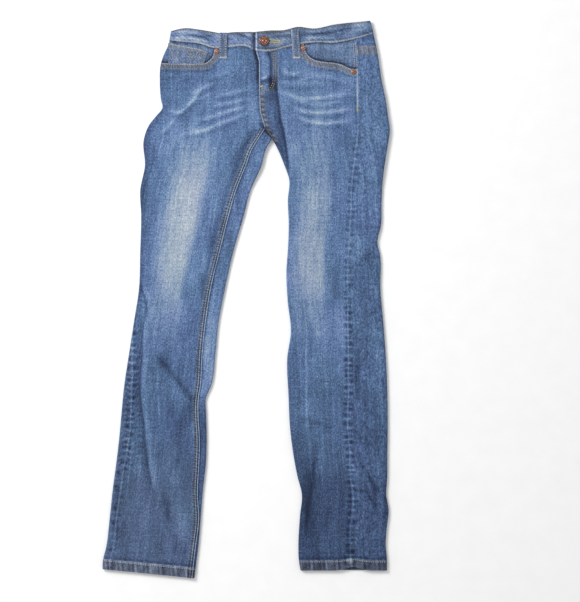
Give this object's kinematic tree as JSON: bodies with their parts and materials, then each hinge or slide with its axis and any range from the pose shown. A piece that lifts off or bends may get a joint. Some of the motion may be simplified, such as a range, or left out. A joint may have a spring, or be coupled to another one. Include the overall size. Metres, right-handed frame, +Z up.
{
  "type": "skinny jeans",
  "caption": "Low-rise skinny jeans in faded mid-blue stretch denim, laid flat with the front up, button and fly closed.",
  "frame": {"origin": "on the surface that the jeans lie on, under the middle of their outline", "axes": "+X to the wearer's left, +Y from the hems to the waist, +Z up out of the front"},
  "size_m": [0.4933, 0.9564, 0.0128],
  "materials": {
    "denim": "washed stretch denim, twill, faded on the thighs and creases",
    "copper": "antique copper"
  },
  "bodies": {
    "root": {"front_right_leg": "denim", "front_left_leg": "denim", "back_right_leg": "denim", "back_left_leg": "denim", "yoke_right": "denim", "yoke_left": "denim", "waistband": "denim", "pocket_facing_right": "denim", "pocket_facing_left": "denim", "coin_pocket": "denim", "back_pocket_right": "denim", "back_pocket_left": "denim", "belt_loop_right": "denim", "belt_loop_left": "denim", "belt_loop_back_right": "denim", "belt_loop_back_middle": "denim", "belt_loop_back_left": "denim", "button": "copper", "rivet_right_inner": "copper", "rivet_left_inner": "copper", "rivet_left_outer": "copper"}
  },
  "joints": []
}
